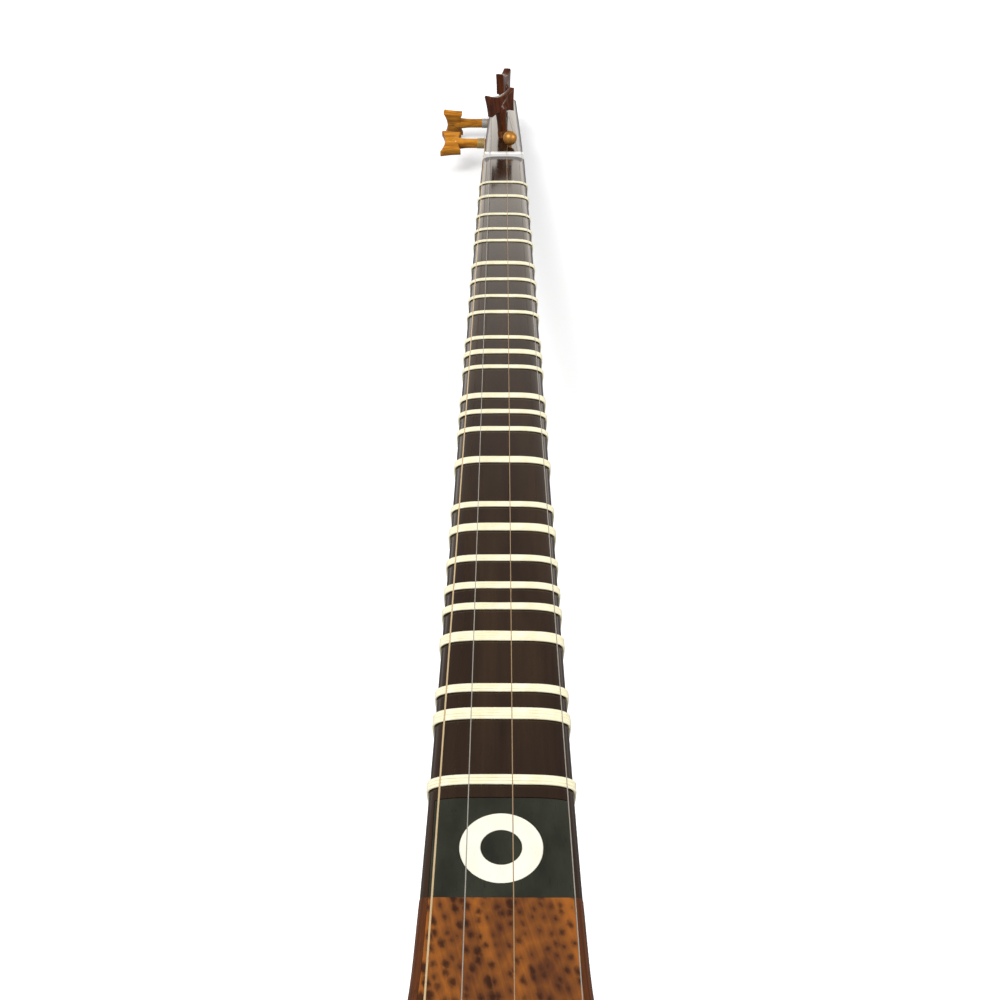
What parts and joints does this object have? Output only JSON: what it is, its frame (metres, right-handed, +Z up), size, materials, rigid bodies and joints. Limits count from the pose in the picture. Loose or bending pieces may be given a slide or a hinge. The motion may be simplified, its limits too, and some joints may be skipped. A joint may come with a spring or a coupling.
{
  "type": "setar",
  "caption": "Slim long-necked lute with a deep stave-built pear bowl, wooden soundboard, tied gut frets and turning T-shaped friction pegs, lying on its back.",
  "frame": {"origin": "on the table under the middle of the instrument's outline box", "axes": "+Z up, +Y along the instrument from the bowl to the head, +X to the treble side; the instrument lies on its back, tipped so that the bowl and the end of the head both touch the table"},
  "size_m": [0.1556, 0.8594, 0.1361],
  "materials": {
    "neck_wood": "dark walnut, high-gloss lacquer",
    "bowl_wood": "reddish-brown mulberry, satin lacquer",
    "bowl_wood_light": "lighter mulberry, satin lacquer",
    "board_wood": "open-pored mulberry with dark pore flecks, satin",
    "inner_wood": "bare softwood, unfinished",
    "throat_ebony": "greenish-black hardwood, semi-gloss",
    "bone": "polished ivory-white bone",
    "gut": "cream tied gut",
    "amber_wood": "golden amber lacquered wood",
    "dark_peg_wood": "dark red-brown lacquered wood",
    "steel": "bright drawn steel wire",
    "brass": "bright drawn brass"
  },
  "bodies": {
    "root": {"stave_1": "bowl_wood", "stave_2": "bowl_wood_light", "stave_3": "bowl_wood", "stave_4": "bowl_wood_light", "stave_5": "bowl_wood", "stave_6": "bowl_wood_light", "stave_7": "bowl_wood", "stave_8": "bowl_wood_light", "stave_9": "bowl_wood", "fret_01": "gut", "fret_02": "gut", "fret_03": "gut", "fret_04": "gut", "fret_05": "gut", "fret_06": "gut", "fret_07": "gut", "fret_08": "gut", "fret_09": "gut", "fret_10": "gut", "fret_11": "gut", "fret_12": "gut", "fret_13": "gut", "fret_14": "gut", "fret_15": "gut", "fret_16": "gut", "fret_17": "gut", "fret_18": "gut", "fret_19": "gut", "fret_20": "gut", "fret_21": "gut", "fret_22": "gut", "fret_23": "gut", "fret_24": "gut", "fret_25": "gut", "neck": "neck_wood", "throat_plate": "throat_ebony", "ring_inlay": "bone", "nut": "bone", "string_pin": "brass", "heel_block": "inner_wood", "tail_block": "inner_wood", "soundboard": "board_wood", "cross_brace": "inner_wood", "bridge": "amber_wood", "tail_cap": "throat_ebony", "tail_saddle": "bone", "string_holder": "bone", "string_bam": "brass", "string_sol": "brass", "string_zang": "steel", "string_do": "steel"},
    "peg_front_lower": {"peg_front_lower": "dark_peg_wood", "winding_sol": "brass"},
    "peg_front_upper": {"peg_front_upper": "dark_peg_wood", "winding_do": "steel"},
    "peg_side_lower": {"peg_side_lower": "amber_wood", "winding_bam": "brass"},
    "peg_side_upper": {"peg_side_upper": "amber_wood", "winding_zang": "steel"}
  },
  "joints": [
    {"name": "turn_front_lower", "type": "hinge", "parent": "root", "child": "peg_front_lower", "pos_m": [-0.0001, 0.3267, 0.03102], "axis": [-0.0872, 0.1358, 0.9869], "continuous": true},
    {"name": "turn_front_upper", "type": "hinge", "parent": "root", "child": "peg_front_upper", "pos_m": [0, 0.38717, 0.0227], "axis": [0, 0.1363, 0.9907], "continuous": true},
    {"name": "turn_side_lower", "type": "hinge", "parent": "root", "child": "peg_side_lower", "pos_m": [-0.01015, 0.35404, 0.01717], "axis": [-1, 0, 0], "continuous": true},
    {"name": "turn_side_upper", "type": "hinge", "parent": "root", "child": "peg_side_upper", "pos_m": [-0.00906, 0.40259, 0.01049], "axis": [-1, 0, 0], "continuous": true}
  ]
}
